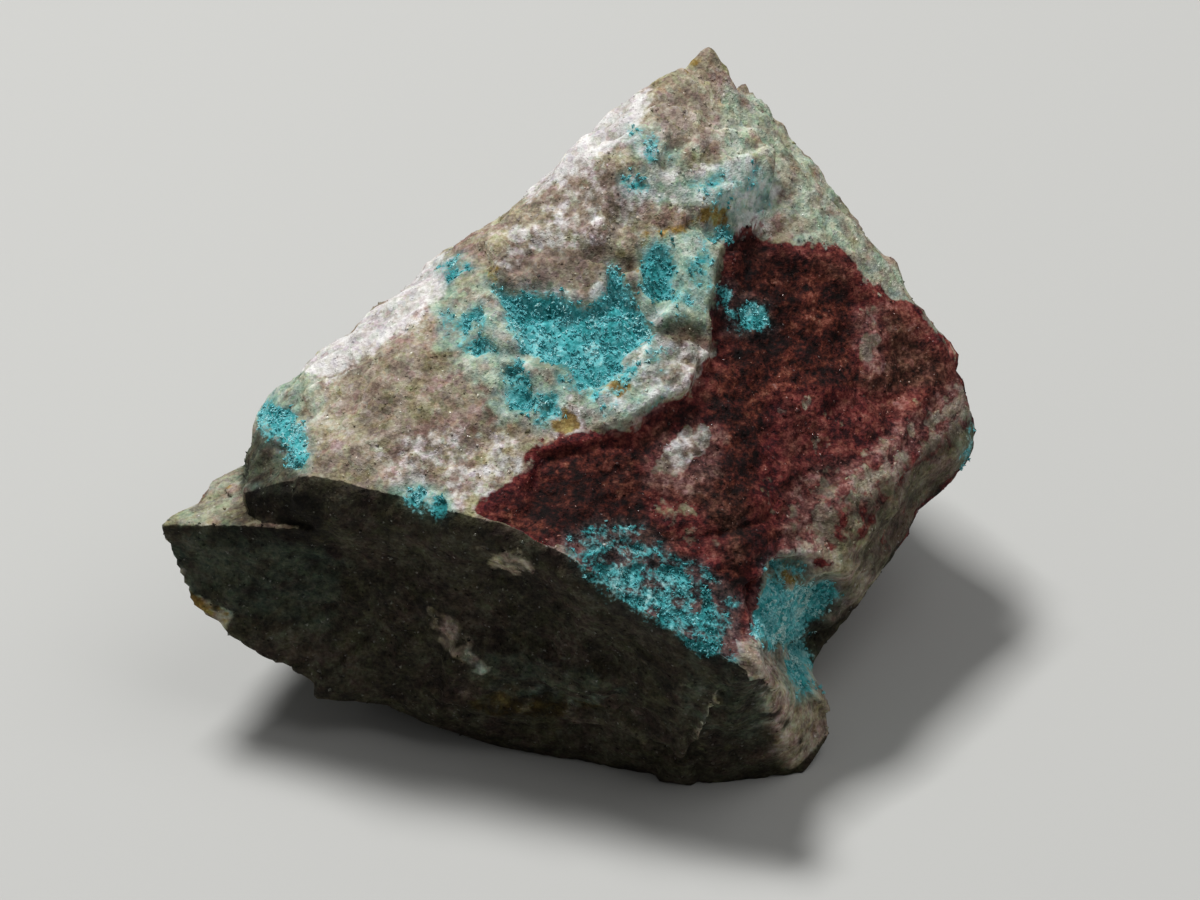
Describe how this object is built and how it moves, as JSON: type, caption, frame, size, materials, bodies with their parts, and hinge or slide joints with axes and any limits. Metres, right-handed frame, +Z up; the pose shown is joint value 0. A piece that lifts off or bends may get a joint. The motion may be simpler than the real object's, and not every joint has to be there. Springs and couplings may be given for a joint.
{
  "type": "ajoite cluster",
  "caption": "Broken lump of pinkish and dark red quartz-rich rock with crusts of small turquoise ajoite crystals in its hollows, resting on a flat on its underside",
  "frame": {"origin": "middle of the bounding box at the level of the flat the stone rests on", "axes": "+Z up as it rests, +X to the right as seen in the picture and along the longest extent, +Y away from the viewer"},
  "size_m": [0.0408, 0.0316, 0.0282],
  "materials": {
    "stone": "rough broken rock"
  },
  "bodies": {
    "root": {"stone": "stone"}
  },
  "joints": []
}
